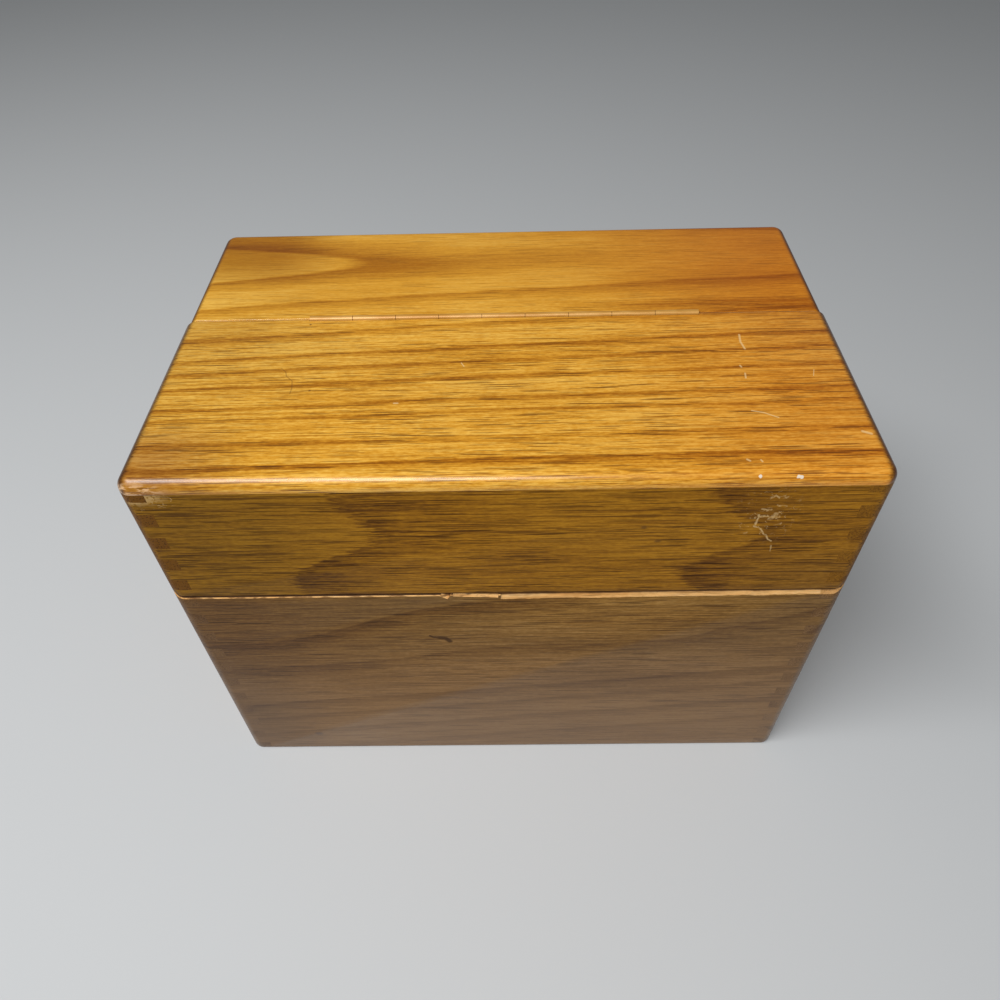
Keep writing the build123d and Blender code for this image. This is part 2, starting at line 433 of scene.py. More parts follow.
# %% End grain: dots where the fibres are cut across
def with_ends(s, x, y, z, grain, seed, colour, brown, pore_colour, ends_show):
    facing = s.maths("ABSOLUTE", s.three("Normal")[grain])
    cut_across = s.smooth(facing, 0.15, 0.7)
    dots = s.cells(s.vector(x / 0.5, y / 0.5, z / 0.5 + seed))
    ends = s.blend(s.smooth(dots, 0.2, 0.5), pore_colour, tuple(c * 0.8 for c in brown))
    on_left, on_right = ends_show
    return s.blend(cut_across * (on_left + (on_right - on_left) * s.smooth(x, -5, 5)), colour, ends)


# %% The recipe
raw = {"Specular_IOR_Level": 0.15}


def oak(name, growth_of, grain, palette, seed, lacquer=None, marks=None, lines=0.45, ends_show=(0.7, 0.7),
        mood_of=None, run=17.0):
    """Oak whose fibres run along X (grain 0) or Y (grain 1); palette runs from pale to dark."""
    s = Drawing(name)
    x, y, z = (place / mm for place in s.three("Object"))
    spot = s.vector(x, y, z)
    clear, coat = mood_of(s, x, y, z) if mood_of else (1.0, 0.0)
    stretched = fibre_places(s, x, y, z, grain, seed)

    drift = s.noise(stretched(70, 18), 2.0) - 0.5
    tremor = s.noise(stretched(14, 1.6, 3.0), 3.0, 0.65) - 0.5
    # For the top and the base's front, growth also carries painted shade.
    growth = growth_of(s, x, y, z, drift * 3.5 + tremor * 1.7)
    silk = s.noise(stretched(34, 0.5, 5.0), 3.0, 0.65) - 0.5
    threads = s.noise(stretched(9, 0.75, 7.0), 3.0, 0.7) - 0.5
    flecks = s.noise(stretched(1.7, 0.45, 21.0), 2.0, 0.6) - 0.5
    clouds = s.noise(stretched(55, 14, 9.0), 2.0) - 0.5
    fibres = silk * 0.85 + threads * 0.6 + flecks * 0.7
    open_pores, fine_pores = pores_of(s, stretched, growth, clear, run)

    pale, honey, brown, dark = palette
    pore_colour = tuple(c * 0.62 for c in dark)
    tone = s.clamp(0.21 + growth * 0.52 + fibres * clear + clouds * 0.5)
    colour = s.node("ShaderNodeValToRGB", {"stops": [
        (0.0, pale), (0.3, honey), (0.68, brown), (1.0, dark)]}, {"Fac": tone})
    colour = s.blend(fine_pores * clear * lines, colour, dark)
    colour = s.blend(open_pores * 0.92, colour, pore_colour)
    colour = with_ends(s, x, y, z, grain, seed, colour, brown, pore_colour, ends_show)

    relief = 1 - open_pores * 0.9 - fine_pores * 0.2 + silk * 0.3
    gloss = s.noise(s.vector(x / 26, y / 26, z / 26 + seed), 3.0, 0.6)
    rough = 0.34 + 0.22 * gloss + 0.15 * open_pores
    if marks:
        colour, relief, rough = marks(s, spot, x, y, z, colour, relief, rough)
    if not lacquer:
        rough = 0.72 + 0.12 * gloss
    bump = s.node("ShaderNodeBump", None, {
        "Strength": 0.3 if lacquer else 0.6, "Distance": 0.08 * mm, "Height": relief})
    return s.done(Base_Color=colour, Roughness=rough, Coat_Weight=coat, Normal=bump, **(lacquer or raw))


# %% [markdown]
# ## Lacquer and handling
# Hands have rubbed the lid and the upper front nearly bare, so the grain is crisp there. Near
# the foot the lacquer is thick and veils it. One mask per board sets both at once: how clear
# the figure is and how much clear coat lies on it, since on a real box one causes the other.

# %% How clear the figure is and how thick the lacquer
def top_mood(s, x, y, z):
    """The grain is strong near the hand and calmer at the back."""
    return 1.14 - 0.69 * s.smooth(y - front_face, 42, 78), 0.85


def lid_mood(s, x, y, z):
    """Handled often, so little lacquer is left."""
    return 1.15, 0.05


def base_mood(s, x, y, z):
    """Rubbed thin near the seam and thick near the foot."""
    rubbed = s.smooth(z, 8, 80)
    return 0.5 + 0.6 * rubbed, 0.52 - 0.40 * rubbed


def side_mood(s, x, y, z):
    """The sides and the back are quieter than the front."""
    clear, coat = base_mood(s, x, y, z)
    away = s.smooth(y - front_face, 0.2, 6)
    return clear + (0.9 - clear) * away, coat + (0.2 - coat) * away


# %% [markdown]
# ## Wear on the top
# The top has pale scratches near the right, a hairline crack on the left, two drips of old
# paint and a scraped front corner. Each scratch is a stroke through a few places. The board's
# colour isn't even either: soft films of colour change it, and painted shade darkens its rounded
# ends and its back right, where they get less light.

# %% Where the top is marked
def on_top(*places):
    """Points on the top, from how far right and how far back they lie."""
    return [(aside, back + front_face, top_face) for aside, back in places]


top_scratches = [
    (on_top((59.4, 49.8), (59.1, 46.9), (59.6, 44.0)), 0.5),
    (on_top((57.1, 37.4), (57.3, 36.8)), 0.45),
    (on_top((57.7, 34.4), (57.5, 32.6)), 0.4),
    (on_top((74.3, 35.4), (73.6, 33.0)), 0.2),
    (on_top((56.4, 20.9), (59.0, 20.1), (61.9, 18.4)), 0.35),
    (on_top((-10.4, 40.2), (-9.7, 38.8)), 0.3),
    (on_top((-25.6, 25.4), (-24.8, 25.4)), 0.5),
    (on_top((52.1, 5.1), (52.6, 4.7)), 0.5),
    (on_top((55.0, 4.9), (55.2, 4.4)), 0.4),
    (on_top((79.2, 13.4), (80.8, 12.6)), 0.7),
]
hairline = on_top((-54.5, 39.2), (-53.2, 37.9), (-52.7, 36.1), (-51.0, 34.3), (-50.6, 31.7), (-50.7, 29.6))
worm_holes = on_top((-50.3, 57.4), (-46.2, 30.5))
print("scratches on the top:", len(top_scratches))


# %% How the top has darkened, with painted shade at its ends and its back right
def top_tints_and_painted_shade(s, x, y, colour):
    back = y - front_face
    aside = s.maths("ABSOLUTE", x)
    ends = s.smooth(aside, 81.0, 82.7) * (1 - 0.45 * s.smooth(aside, 83.4, 84.1))
    tints_and_painted_shade = [
        (s.smooth(x, -50, 80), (1.0, 0.945, 0.88)),
        (s.smooth(-x, 30, 84), (0.90, 0.92, 0.97)),
        (s.smooth(x, 15, 75), (0.93, 0.79, 0.68)),
        (s.smooth(-x, 42, 68) * s.smooth(back, 72, 90), (0.60, 0.47, 0.16)),
        (s.smooth(-x, 52, 78) * (1 - s.smooth(back, 9, 24)), (0.64, 0.56, 0.66)),
        # Painted shade: darker towards the back right, where the light falls off.
        (s.smooth(x, -20, 80) * s.smooth(back, 55, 80), (0.90, 0.80, 0.66)),
        # Painted shade: the rounded ends are darker, as they turn away from the light.
        (ends * 0.95, (0.34, 0.34, 0.24)),
    ]
    for share, tone in tints_and_painted_shade:
        colour = s.tint(share, colour, tone)
    return colour


# %% Scratches, crack, scraped corner and paint
def top_marks(s, spot, x, y, z, colour, relief, rough):
    scratched = s.most(0.0, *(s.stroke(spot, points, broad) for points, broad in top_scratches))
    crack = s.stroke(spot, hairline, 0.28)
    holes = s.most(*(s.near(spot, hole, (0.45, 0.4, 0.4)) for hole in worm_holes))
    flung = s.shaken(spot, 0.8, 0.8)
    drips = s.most(s.near(flung, (54.2, front_face + 0.8, top_face - 0.9), (0.6, 0.5, 0.6)),
                   s.near(flung, (62.6, front_face + 0.7, top_face - 1.0), (1.05, 0.6, 0.7)))
    crumbs = s.noise(s.vector(x / 0.45, y / 0.45, z / 0.45), 2.0) - 0.5
    paint = s.smooth(drips + crumbs * 1.1, 0.35, 0.6)
    torn = s.smooth(s.noise(s.vector(x / 2.5, y / 0.8, z / 0.8), 3.0, 0.65), 0.42, 0.58)
    scraped = s.near(spot, (-80.0, front_face + 0.5, top_face - 2.2), (9.0, 3.0, 2.0)) * torn

    colour = top_tints_and_painted_shade(s, x, y, colour)
    colour = s.blend(scratched * 0.55, colour, (0.90, 0.64, 0.30))
    colour = s.blend(crack * 0.45, colour, (0.20, 0.08, 0.01))
    colour = s.blend(scraped * 0.8, colour, (0.80, 0.50, 0.26))
    colour = s.blend(holes * 0.8, colour, (0.14, 0.05, 0.01))
    colour = s.blend(paint * 0.9, colour, (0.86, 0.76, 0.62))
    return colour, relief - scratched * 2 - crack * 2 + paint * 4, rough + scratched * 0.2


# %% [markdown]
# ## Wear on the front
# The lid's front has a patch of curly scratches, which one opens it by, and a rubbed corner.
# A noise that is only kept where it is near its middle value gives fine curls, so a whole
# patch needs no strokes of its own. The long scratch and its hooks are strokes, bent a little.

# %% A patch of curls
def scuffs(s, spot, x, z, centre, reach, seed):
    """Short curly scratches inside a patch."""
    warp = s.noise(s.vector(x / 3.2 + seed, 0.0, z / 2.2), 2.0, 0.6)
    line = 1 - s.smooth(s.maths("ABSOLUTE", warp - 0.5), 0.006, 0.022)
    broken = s.smooth(s.noise(s.vector(x / 1.3, seed, z / 1.3), 2.0), 0.5, 0.6)
    return line * broken * s.near(spot, centre, reach)


# %% Where the fronts are marked
def on_front(*places):
    """Points on the front, from how far right and how high they lie."""
    return [(aside, front_face, high) for aside, high in places]


long_scratch = on_front((56.2, 112.0), (55.9, 108.2), (57.6, 107.1), (58.6, 105.5), (59.9, 103.7),
                        (60.9, 102.9))
hooks = [
    (on_front((56.4, 113.9), (58.4, 113.8)), 0.5),
    (on_front((56.2, 111.4), (58.2, 111.5)), 0.6),
    (on_front((57.5, 117.2), (58.4, 118.3), (59.4, 117.5)), 0.35),
    (on_front((58.8, 110.6), (59.8, 112.2)), 0.9),
    (on_front((61.2, 101.2), (61.4, 99.4)), 0.35),
]
dent_tail = on_front((-20.7, 65.1), (-19.8, 64.3), (-18.2, 64.1))
dent_body = on_front((-18.2, 64.1), (-16.6, 63.8), (-15.6, 62.4))
print("hooks beside the long scratch:", len(hooks))


# %% The lid's front: scratches, a rubbed corner and two pin knots
def lid_front_marks(s, spot, x, y, z, colour, relief, rough):
    bent = s.shaken(spot, 1.6, 1.1)
    worn = s.smooth(s.noise(s.vector(x / 0.9, 5.0, z / 0.9), 2.0), 0.36, 0.52)
    hooked = s.most(*(s.stroke(bent, points, broad) for points, broad in hooks))
    scratched = s.most(s.stroke(bent, long_scratch, 0.42), hooked * 0.8) * (0.35 + 0.65 * worn)
    patch = scuffs(s, spot, x, z, (58.0, front_face, 112.0), (9.0, 4.0, 12.0), 2.0)
    curls = scuffs(s, spot, x, z, (-77.0, front_face, 120.0), (8.5, 5.0, 5.5), 8.0)
    rubbed = s.near(bent, (-80.5, front_face, 120.0), (9.0, 4.0, 3.0)) * worn
    scratched = s.most(scratched, patch * 0.8, curls, rubbed * 0.7)
    knots = s.most(s.near(spot, (31.2, front_face, 108.3), (1.0, 1.0, 0.8)),
                   s.near(spot, (34.9, front_face, 103.4), (1.2, 1.0, 0.9)))
    low_right = s.smooth(x, 40, 74) * (1 - s.smooth(z, 90, 106))

    colour = s.tint(s.smooth(-x, 10, 72), colour, (0.70, 0.74, 0.72))
    colour = s.tint(low_right, colour, (0.80, 0.82, 1.6))
    colour = s.blend(scratched * 0.7, colour, (0.80, 0.55, 0.25))
    colour = s.blend(knots * 0.7, colour, (0.14, 0.06, 0.01))
    return colour, relief - scratched * 2, rough + scratched * 0.2


# %% The base's front: a dent shaped like a worm, a stain near the foot, films of colour and painted shade
def base_front_marks(s, spot, x, y, z, colour, relief, rough):
    dent = s.most(s.stroke(spot, dent_tail, 0.7), s.stroke(spot, dent_body, 1.4))
    stain = s.near(spot, (-60.8, front_face, 9.8), (1.9, 1.0, 1.3))
    tints_and_painted_shade = [
        # Painted reflection: yellower towards the top, leaving the foot greyer, as it reflects the grey
        # floor.
        (s.smooth(z, 40, 80), (1.06, 1.10, 0.96)),
        # Painted shade: darker at the top left.
        (s.smooth(-x, 25, 75) * s.smooth(z, 35, 75), (0.72, 0.64, 0.48)),
        (s.smooth(-x, 48, 78) * (1 - s.smooth(z, 35, 75)), (0.78, 0.77, 0.78)),
        (s.near(spot, (30, front_face, 76), (44, 6, 18)), (1.22, 1.22, 1.14)),
    ]
    for share, tone in tints_and_painted_shade:
        colour = s.tint(share, colour, tone)
    colour = s.blend(dent * 0.85, colour, (0.050, 0.020, 0.006))
    colour = s.blend(stain * 0.6, colour, (0.07, 0.03, 0.015))
    return colour, relief - dent * 2, rough + dent * 0.4


# %% [markdown]
# ## The sides
# A side board's fingers show in the front, where they must match it, while the board's own
# face has a colour of its own. So its finish starts as the front's and changes within the
# first few millimetres behind the corner, on the round-over, where nobody sees a border.

# %% Duller sides for the lid, warmer ones for the base
def cheek_marks(s, spot, x, y, z, colour, relief, rough):
    away = s.smooth(y - front_face, 0.2, 6)
    return s.tint(away, colour, (0.93, 0.96, 3.1)), relief, rough


def side_marks(s, spot, x, y, z, colour, relief, rough):
    away = s.smooth(y - front_face, 0.2, 6)
    return s.tint(away, colour, (1.27, 1.16, 0.64)), relief, rough


# %% [markdown]
# ## Bare wood
# Inside, and where the saw went through, the oak has no lacquer. The cut is painted dark for a
# millimetre, as grime and as the shade in the gap between lid and base. Where the arris broke
# away the wood is fresh and pale, painted paler still for the light that the lid keeps off it,
# and dark deeper in, as grime and shade. Both need the depth below the box's rounded outline,
# so that corners are no exception.

# %% Grime and painted shade in the cut
def inside(s, x, y):
    """How far a place lies inside the box's rounded outline."""
    aside = s.most(s.maths("ABSOLUTE", x) - (half - corner), 0.0)
    ahead = s.most(s.maths("ABSOLUTE", y) + (front_face + corner), 0.0)
    return corner - s.maths("SQRT", aside ** 2.0 + ahead ** 2.0)


def sawn_marks(s, spot, x, y, z, colour, relief, rough):
    # Painted shade and grime: the cut is dark within about a millimetre of the outside, where the gap
    # between lid and base lies in shade.
    grime_and_painted_shade = 1 - s.smooth(inside(s, x, y), 0.7, 1.5)
    return s.blend(grime_and_painted_shade * 0.9, colour, (0.055, 0.018, 0.005)), relief, rough


def fresh_marks(s, spot, x, y, z, colour, relief, rough):
    """Broken wood is painted dark deep in the cut, as grime and shade, and grimy in patches, more so left
    of the middle.
    """
    patches = s.smooth(s.noise(s.vector(x / 5, y / 1.5, z / 0.8), 3.0, 0.6), 0.46, 0.58)
    grime_and_painted_shade = s.most(patches * (0.85 - 0.65 * s.smooth(x, -3, -1)), s.smooth(inside(s, x, y), 0.45, 0.7))
    return s.blend(grime_and_painted_shade * 0.9, colour, (0.12, 0.045, 0.015)), relief, rough


# %% [markdown]
# ## Mixing the oaks
# All boards came from one kind of timber, but light and hands have aged them apart: the top is
# honey, the lid's front is olive and the base is umber. The front palettes are darker still as
# painted shade, since the front faces get less light than the top; the fresh palette is paler as
# painted light, and the soiled one is near black as painted shade. Each palette has four colours,
# from early wood to pores. The lacquers differ in sheen, and only constants describe them.

# %% Palettes and lacquers
honey_oak = ((0.88, 0.50, 0.080), (0.70, 0.325, 0.024), (0.42, 0.150, 0.003), (0.23, 0.070, 0.001))
# Partly painted shade: darker than the lid front's own olive, as the front faces get less light than the
# top.
front_oak_with_painted_shade = ((0.48, 0.215, 0.011), (0.345, 0.143, 0.005), (0.185, 0.069, 0.003), (0.095, 0.031, 0.001))
# Partly painted shade: darker than the base's own umber, as the front faces get less light than the top.
base_oak_with_painted_shade = ((0.315, 0.165, 0.053), (0.225, 0.107, 0.024), (0.133, 0.054, 0.008), (0.075, 0.027, 0.003))
side_oak = ((0.42, 0.200, 0.036), (0.30, 0.131, 0.015), (0.17, 0.066, 0.006), (0.09, 0.031, 0.002))
bare_oak = ((0.74, 0.50, 0.24), (0.62, 0.38, 0.16), (0.46, 0.26, 0.10), (0.30, 0.16, 0.06))
# Partly painted light: paler than fresh oak, for the light that the lid keeps off the broken arris.
fresh_oak_painted_light = ((0.98, 0.62, 0.29), (0.94, 0.54, 0.20), (0.78, 0.39, 0.12), (0.55, 0.25, 0.07))
# Painted shade and grime: near black, as the shade under the lid's eased edge.
grime_and_shade_oak = ((0.09, 0.028, 0.004), (0.06, 0.017, 0.002), (0.04, 0.010, 0.001), (0.03, 0.007, 0.001))
satin = {"Specular_IOR_Level": 0.08, "Coat_Roughness": 0.26}
dull = {"Specular_IOR_Level": 0.06, "Coat_Roughness": 0.3}
glossy = {"Specular_IOR_Level": 0.14, "Coat_Roughness": 0.2}

# %% One row per board
boards = {
    "top": (top_growth, 0, honey_oak, 3.0, satin, top_marks, 0.5, (0.9, 1.0), top_mood, 10.0),
    "lid_front": (lid_front_growth, 0, front_oak_with_painted_shade, 11.0, dull, lid_front_marks, 0.6, (0.9, 0.5), lid_mood),
    "base_front": (base_front_growth, 0, base_oak_with_painted_shade, 17.0, glossy, base_front_marks, 0.5, (0.6, 0.25),
                   base_mood),
    "lid_side": (side_growth, 1, front_oak_with_painted_shade, 23.0, dull, cheek_marks, 0.55, (0.9, 0.5), lid_mood),
    "base_side": (side_growth, 1, base_oak_with_painted_shade, 23.0, glossy, side_marks, 0.5, (0.6, 0.25), side_mood),
    "back": (back_growth, 0, side_oak, 41.0, glossy, None, 0.5, (0.35, 0.3), side_mood),
}
finished, bare, arris = {}, {}, {}
for board, recipe in boards.items():
    timber = (recipe[0], recipe[1])
    seed = recipe[3]
    finished[board] = oak("oak_" + board, *recipe)
    bare[board] = oak("bare_oak_" + board, *timber, bare_oak, seed, marks=sawn_marks)
    # The lid's eased arris is painted near black, as grime and the shade under its edge; the base's is
    # painted pale, as fresh wood and light.
    if board.startswith("lid"):
        arris[board] = oak("soiled_oak_" + board, *timber, grime_and_shade_oak, seed)
    else:
        arris[board] = oak("fresh_oak_" + board, *timber, fresh_oak_painted_light, seed, marks=fresh_marks)
    print(board, "nodes", len(finished[board].node_tree.nodes))


# %% [markdown]
# ## Joinery tools
# A board starts as a block, a little too big on its outer side. Combs cut the spaces between
# its fingers, a saw block takes the slanted cut, and a rounded block trims the outside, so
# that every board meets its neighbours on one smooth surface, as a sanded box does.

# %% Selecting and making blocks
def pick(piece):
    bpy.ops.object.select_all(action="DESELECT")
    piece.select_set(True)
    bpy.context.view_layer.objects.active = piece


def block(name, low, high):
    """A block between two corners."""
    bpy.ops.object.select_all(action="DESELECT")
    low, high = Vector(low), Vector(high)
    bpy.ops.mesh.primitive_cube_add(size=1, location=(low + high) / 2, scale=high - low)
    piece = bpy.context.object
    piece.name = piece.data.name = name
    bpy.ops.object.transform_apply(location=True, rotation=True, scale=True)
    return piece


def same(a, b):
    return abs(a - b) < 0.01 * mm


# %% Choosing and rounding edges
def choose_edges(piece, test):
    """Goes into edit mode with the edges selected whose two ends pass the test."""
    pick(piece)
    bpy.ops.object.mode_set(mode="EDIT")
    bpy.ops.mesh.select_mode(type="EDGE")
    bpy.ops.mesh.select_all(action="DESELECT")
    bpy.ops.object.mode_set(mode="OBJECT")
    points = piece.data.vertices
    chosen = 0
    for edge in piece.data.edges:
        edge.select = test(points[edge.vertices[0]].co, points[edge.vertices[1]].co)
        chosen += edge.select
    bpy.ops.object.mode_set(mode="EDIT")
    return chosen


def bevel_where(piece, test, width, segments):
    chosen = choose_edges(piece, test)
    bpy.ops.mesh.bevel(offset=width, segments=segments, profile=0.5, affect="EDGES")
    bpy.ops.object.mode_set(mode="OBJECT")
    return chosen


# %% Cutting and joining
def combine(piece, tool, operation, keep_tool=False):
    """One boolean cut or join, applied at once."""
    pick(piece)
    step = piece.modifiers.new("cut", "BOOLEAN")
    step.operation = operation
    step.solver = "EXACT"
    step.material_mode = "TRANSFER"
    step.object = tool
    bpy.ops.object.modifier_apply(modifier=step.name)
    if not keep_tool:
        bpy.data.objects.remove(tool)
    return piece


# %% The rounded outside of the closed box, and the narrower one of the rear strip
def rounded_outside(name, side_inset=0.0):
    reach = half_width - side_inset
    body = block(name, (-reach, front_y, 0), (reach, back_y, height))
    bevel_where(body, lambda a, b: same(a.x, b.x) and same(a.y, b.y), corner_radius, 10)
    bevel_where(body, lambda a, b: same(a.z, height) and same(b.z, height), top_radius, 10)
    bevel_where(body, lambda a, b: same(a.z, 0) and same(b.z, 0), foot_radius, 4)
    return body


outside = rounded_outside("outside")
strip_outside = rounded_outside("strip_outside", half_width - strip_high.x)
print("faces on the rounded block:", len(outside.data.polygons))


# %% [markdown]
# ## Comb, saw and rabbet
# On the bench a comb jig cuts all the fingers of a joint in one go, and an array of blocks is
# the same thing here. The saw is a block so big that only one of its faces matters: the
# slanted one. The rabbet is the step in the walls that takes the bottom panel.

# %% The three tools
finger = 4.0 * mm
spare = 2.0 * mm
far = 1.0


def comb(name, low, high, start):
    """A stack of blocks, one for each finger space, from the height called start."""
    tool = block(name, (low[0], low[1], start), (high[0], high[1], start + finger))
    stack = tool.modifiers.new("stack", "ARRAY")
    stack.count = math.ceil((board_top - start) / (2 * finger)) + 1
    stack.use_relative_offset = False
    stack.use_constant_offset = True
    stack.constant_offset_displace = (0, 0, 2 * finger)
    pick(tool)
    bpy.ops.object.modifier_apply(modifier=stack.name)
    return tool


def saw(side):
    """A big slanted block that takes away the lid's room (+1) or the base's room (-1)."""
    size = 3 * half_width
    reach = sorted((0, side * 2 * size))
    tool = block("saw", (-size, -size, reach[0]), (size, size, reach[1]))
    tool.location = (0, front_y, base_seam if side > 0 else lid_seam)
    tool.rotation_euler = (slant, 0, 0)
    bpy.ops.object.transform_apply(location=True, rotation=True, scale=True)
    return tool


def bottom_rabbet():
    return block("rabbet", (panel_low.x, panel_low.y, -spare), (panel_high.x, panel_high.y, panel_high.z))


# %% [markdown]
# ## The outside of each half
# The closed block is sawn once for each half, and the arris that the saw left is eased: well
# rounded along the lid, which hands lift by, and hardly at all along the base. The lid's rounding
# is later painted dark, as grime and as the shade under its edge. Easing the half before the
# boards are cut from it makes the rounding run on across the joints.

# %% Two halves with eased arrises
lid_easing = 0.8 * mm
base_easing = 0.2 * mm
split_gap = 0.2 * mm


def half_outside(name, side, width):
    body = rounded_outside(name)
    combine(body, saw(side), "DIFFERENCE")
    if side < 0:
        combine(body, block("split", (-far, axis_y - split_gap, -far), (far, far, far)), "DIFFERENCE")
    else:
        combine(body, block("above", (-far, -far, board_top), (far, far, far)), "DIFFERENCE")
    seam = lid_seam if side < 0 else base_seam

    def on_cut(a, b):
        return all(same(p.z, seam + slope * (p.y - front_y)) for p in (a, b))

    print(name, "edges eased:", bevel_where(body, on_cut, width, 3))
    pick(body)
    bpy.ops.object.mode_set(mode="EDIT")
    bpy.ops.mesh.select_all(action="SELECT")
    bpy.ops.mesh.quads_convert_to_tris()
    bpy.ops.object.mode_set(mode="OBJECT")
    return body


lid_outside = half_outside("lid_outside", -1, lid_easing)
base_outside = half_outside("base_outside", 1, base_easing)


# %% [markdown]
# ## The walls
# Front and back boards have slots where the sides' fingers pass, and the sides have slots
# for theirs. The saw's kerf is gone from between the halves, and the lid has settled by that
# much on the base, so the lid's walls use a grid of fingers that sits lower.

# %% One wall
kerf_drop = 1.3 * mm


def end_wall(name, facing, start):
    """A front (-1) or back (+1) board of the closed box."""
    outer = front_y if facing < 0 else back_y
    y = sorted((outer + facing * spare, outer - facing * stock))
    wall = block(name, (-half_width - spare, y[0], -spare), (half_width + spare, y[1], board_top))
    for side in (-1, 1):
        x = sorted((side * (half_width + 2 * spare), side * (half_width - stock)))
        tool = comb("slots", (x[0], y[0] - spare), (x[1], y[1] + spare), start)
        combine(wall, tool, "DIFFERENCE")
    return wall


def side_wall(name, side, start):
    """A left (-1) or right (+1) board of the closed box."""
    x = sorted((side * (half_width + spare), side * (half_width - stock)))
    wall = block(name, (x[0], front_y - spare, -spare), (x[1], back_y + spare, board_top))
    for y in ((front_y - 2 * spare, front_y + stock), (back_y - stock, back_y + 2 * spare)):
        tool = comb("slots", (x[0] - spare, y[0]), (x[1] + spare, y[1]), start - finger)
        combine(wall, tool, "DIFFERENCE")
    return wall


# %% [markdown]
# ## Broken arris
# Right of the middle, a long splinter has come off the base's upper edge and left a pale band;
# beside it are a thin one and a flake. Painting them would look flat from the side, so a block
# with a rippled underside is laid along the seam and cut away from every board that it meets.

# %% A splinter
splinter_height = 8 * mm
ripple_step = 0.9 * mm
ripple_size = 4 * mm


def splinter(name, x_from, x_to, drop, depth, end_drop):
    """It starts drop below the seam, ends end_drop below it and reaches depth into the wood."""
    length = x_to - x_from
    tool = block(name, (x_from, -spare, 0), (x_to, 2 * spare, splinter_height))
    choose_edges(tool, lambda a, b: abs(a.x - b.x) > length / 2)
    bpy.ops.mesh.subdivide(number_cuts=max(4, round(length / ripple_step)))
    bpy.ops.object.mode_set(mode="OBJECT")
    ripple = bpy.data.textures.new(name, "CLOUDS")
    ripple.noise_scale = ripple_size
    wave = tool.modifiers.new("ripple", "DISPLACE")
    wave.texture = ripple
    wave.texture_coords = "LOCAL"
    wave.direction = "Z"
    wave.strength = 0.3 * drop
    bpy.ops.object.modifier_apply(modifier=wave.name)
    lean = math.atan2(drop + depth * slope, depth)
    turn = math.atan2(end_drop - drop, length)
    tool.location = (x_from * (1 - math.cos(turn)), front_y, base_seam - drop + x_from * math.sin(turn))
    tool.rotation_euler = (lean, turn, 0)
    bpy.ops.object.transform_apply(location=True, rotation=True, scale=True)
    return tool


arris_wear = [
    ("thin_splinter", -13.5 * mm, -2.2 * mm, 0.35 * mm, 0.5 * mm, 1.05 * mm),
    ("long_splinter", -1.6 * mm, half_width + spare, 1.6 * mm, 1.2 * mm, 1.15 * mm),
    ("flake", -16.8 * mm, -14.6 * mm, 0.3 * mm, 0.4 * mm, 1.7 * mm),
]
print("breaks in the arris:", ", ".join(row[0] for row in arris_wear))


# %% [markdown]
# ## Lacquer outside, bare wood inside
# Lacquer was brushed on after the box was glued, and the saw came later. So a face is lacquered
# if it lies on the outside and looks outwards, eased edges have the soiled finish on the lid,
# painted dark as grime and shade, and the fresh one on the base, painted pale as fresh wood and
# light, and everything else is bare. The choice goes by each face's place and direction.

# %% Dressing a board
lean_limit = 0.2


def is_outer(spot, facing):
    """True on the box's outside, where the lacquer is."""
    rim = 1.3 * mm
    if spot.z < board_top - mm and facing.z > 0.3:
        return False
    outwards = (
        abs(spot.x) > half_width - stock / 2 - rim and facing.x * math.copysign(1, spot.x) > lean_limit,
        spot.y < front_y + stock / 2 and facing.y < -lean_limit,
        spot.y > back_y - stock / 2 and facing.y > lean_limit,
        spot.z > height - top_radius - rim and facing.z > lean_limit,
        spot.z < rim and facing.z < -lean_limit,
    )
    return any(outwards)


def dress(piece, board, body, node):
    """Gives a piece its finishes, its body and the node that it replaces."""
    piece.data.materials.clear()
    for finish in (finished, bare, arris):
        piece.data.materials.append(finish[board])
    upward = 1 if body == "base" else -1
    for face in piece.data.polygons:
        eased = face.center.z < board_top - mm and 0.15 < upward * face.normal.z < 0.8
        eased = eased and (body == "base" or face.center.y < front_y + corner_radius)
        face.material_index = 2 if eased else 0 if is_outer(face.center, face.normal) else 1
    pick(piece)
    bpy.ops.object.shade_smooth_by_angle(angle=math.radians(35))
    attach(piece, body)
    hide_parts(node)
    print(node, "faces", len(piece.data.polygons))


# %% [markdown]
# ## Cutting the seven walls
# Every wall is cut in the order of the bench: joint, outside, rabbet, damage. The splinters go
# through the front board and both side boards, because their fingers share the front's edge.

# %% The walls
for name, make, code, board, body in (
    ("base_front", end_wall, -1, "base_front", "base"),
    ("base_back", end_wall, 1, "back", "base"),
    ("base_left_side", side_wall, -1, "base_side", "base"),
    ("base_right_side", side_wall, 1, "base_side", "base"),
    ("lid_front", end_wall, -1, "lid_front", "lid"),
    ("lid_left_cheek", side_wall, -1, "lid_side", "lid"),
    ("lid_right_cheek", side_wall, 1, "lid_side", "lid"),
):
    on_lid = body == "lid"
    wall = make(name + "_wood", code, -kerf_drop if on_lid else 0.0)
    combine(wall, lid_outside if on_lid else base_outside, "INTERSECT", keep_tool=True)
    if not on_lid:
        combine(wall, bottom_rabbet(), "DIFFERENCE")
    if name in ("base_front", "base_left_side", "base_right_side"):
        for wear in arris_wear:
            combine(wall, splinter(*wear), "DIFFERENCE")
    dress(wall, board, body, name)


# %% [markdown]
# ## The top boards
# The top is one board, glued on and cut across at the hinge, so its figure runs on from the lid
# to the fixed strip. Its lip lies on the walls, and a thicker middle drops between them. The
# rounded block trims it, and the two arrises at the cut are broken with a fine bevel.

# %% One top board
plug_play = 0.3 * mm
split_bevel = 0.3 * mm


